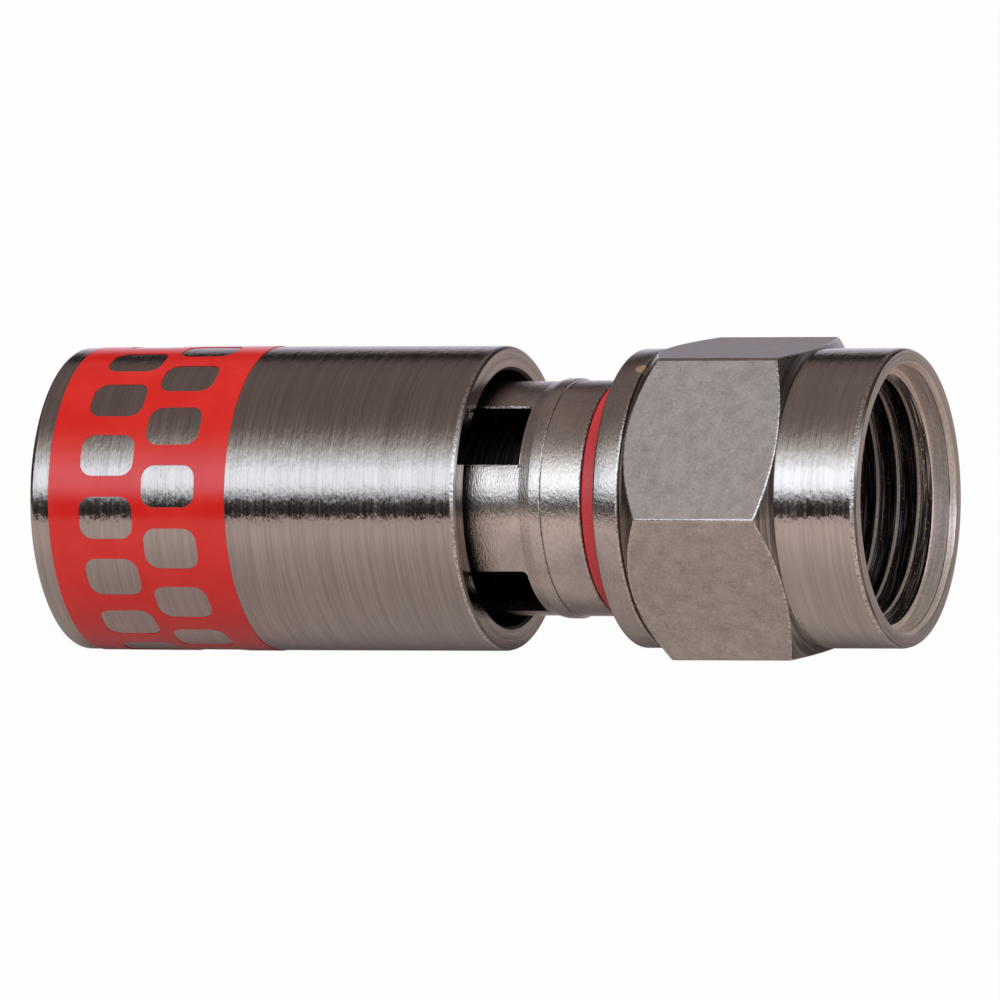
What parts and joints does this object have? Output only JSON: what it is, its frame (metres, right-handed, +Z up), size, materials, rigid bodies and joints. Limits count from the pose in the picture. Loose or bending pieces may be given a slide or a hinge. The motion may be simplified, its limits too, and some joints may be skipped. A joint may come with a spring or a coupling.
{
  "type": "f connector",
  "caption": "Male coaxial F connector of the compression kind: hexagon coupling nut, sealed body with windows, and a sliding sleeve with a red band, not yet pressed onto a cable.",
  "frame": {"origin": "on the axis, at the front face of the post, which is the connector's reference plane", "axes": "+X along the axis and out of the nut's mouth, +Z up, square to the nut's flat that faces the table"},
  "size_m": [0.0322, 0.0128, 0.0112],
  "materials": {
    "nickel_plate": "nickel plated, fine turning marks",
    "seal_rubber": "smooth red rubber",
    "grip_plastic": "moulded, matt",
    "band_ink": "semi-gloss red ink"
  },
  "bodies": {
    "core": {"connector_body": "nickel_plate", "post": "nickel_plate", "nut_seal": "seal_rubber"},
    "nut": {"coupling_nut": "nickel_plate"},
    "sleeve": {"compression_sleeve": "nickel_plate", "grip_ring": "grip_plastic", "color_band": "band_ink"}
  },
  "joints": [
    {"name": "nut_spin", "type": "hinge", "parent": "core", "child": "nut", "pos_m": [0, 0, 0], "axis": [1, 0, 0], "continuous": true},
    {"name": "sleeve_slide", "type": "slide", "parent": "core", "child": "sleeve", "axis": [1, 0, 0], "range_m": [0, 0.005]}
  ]
}
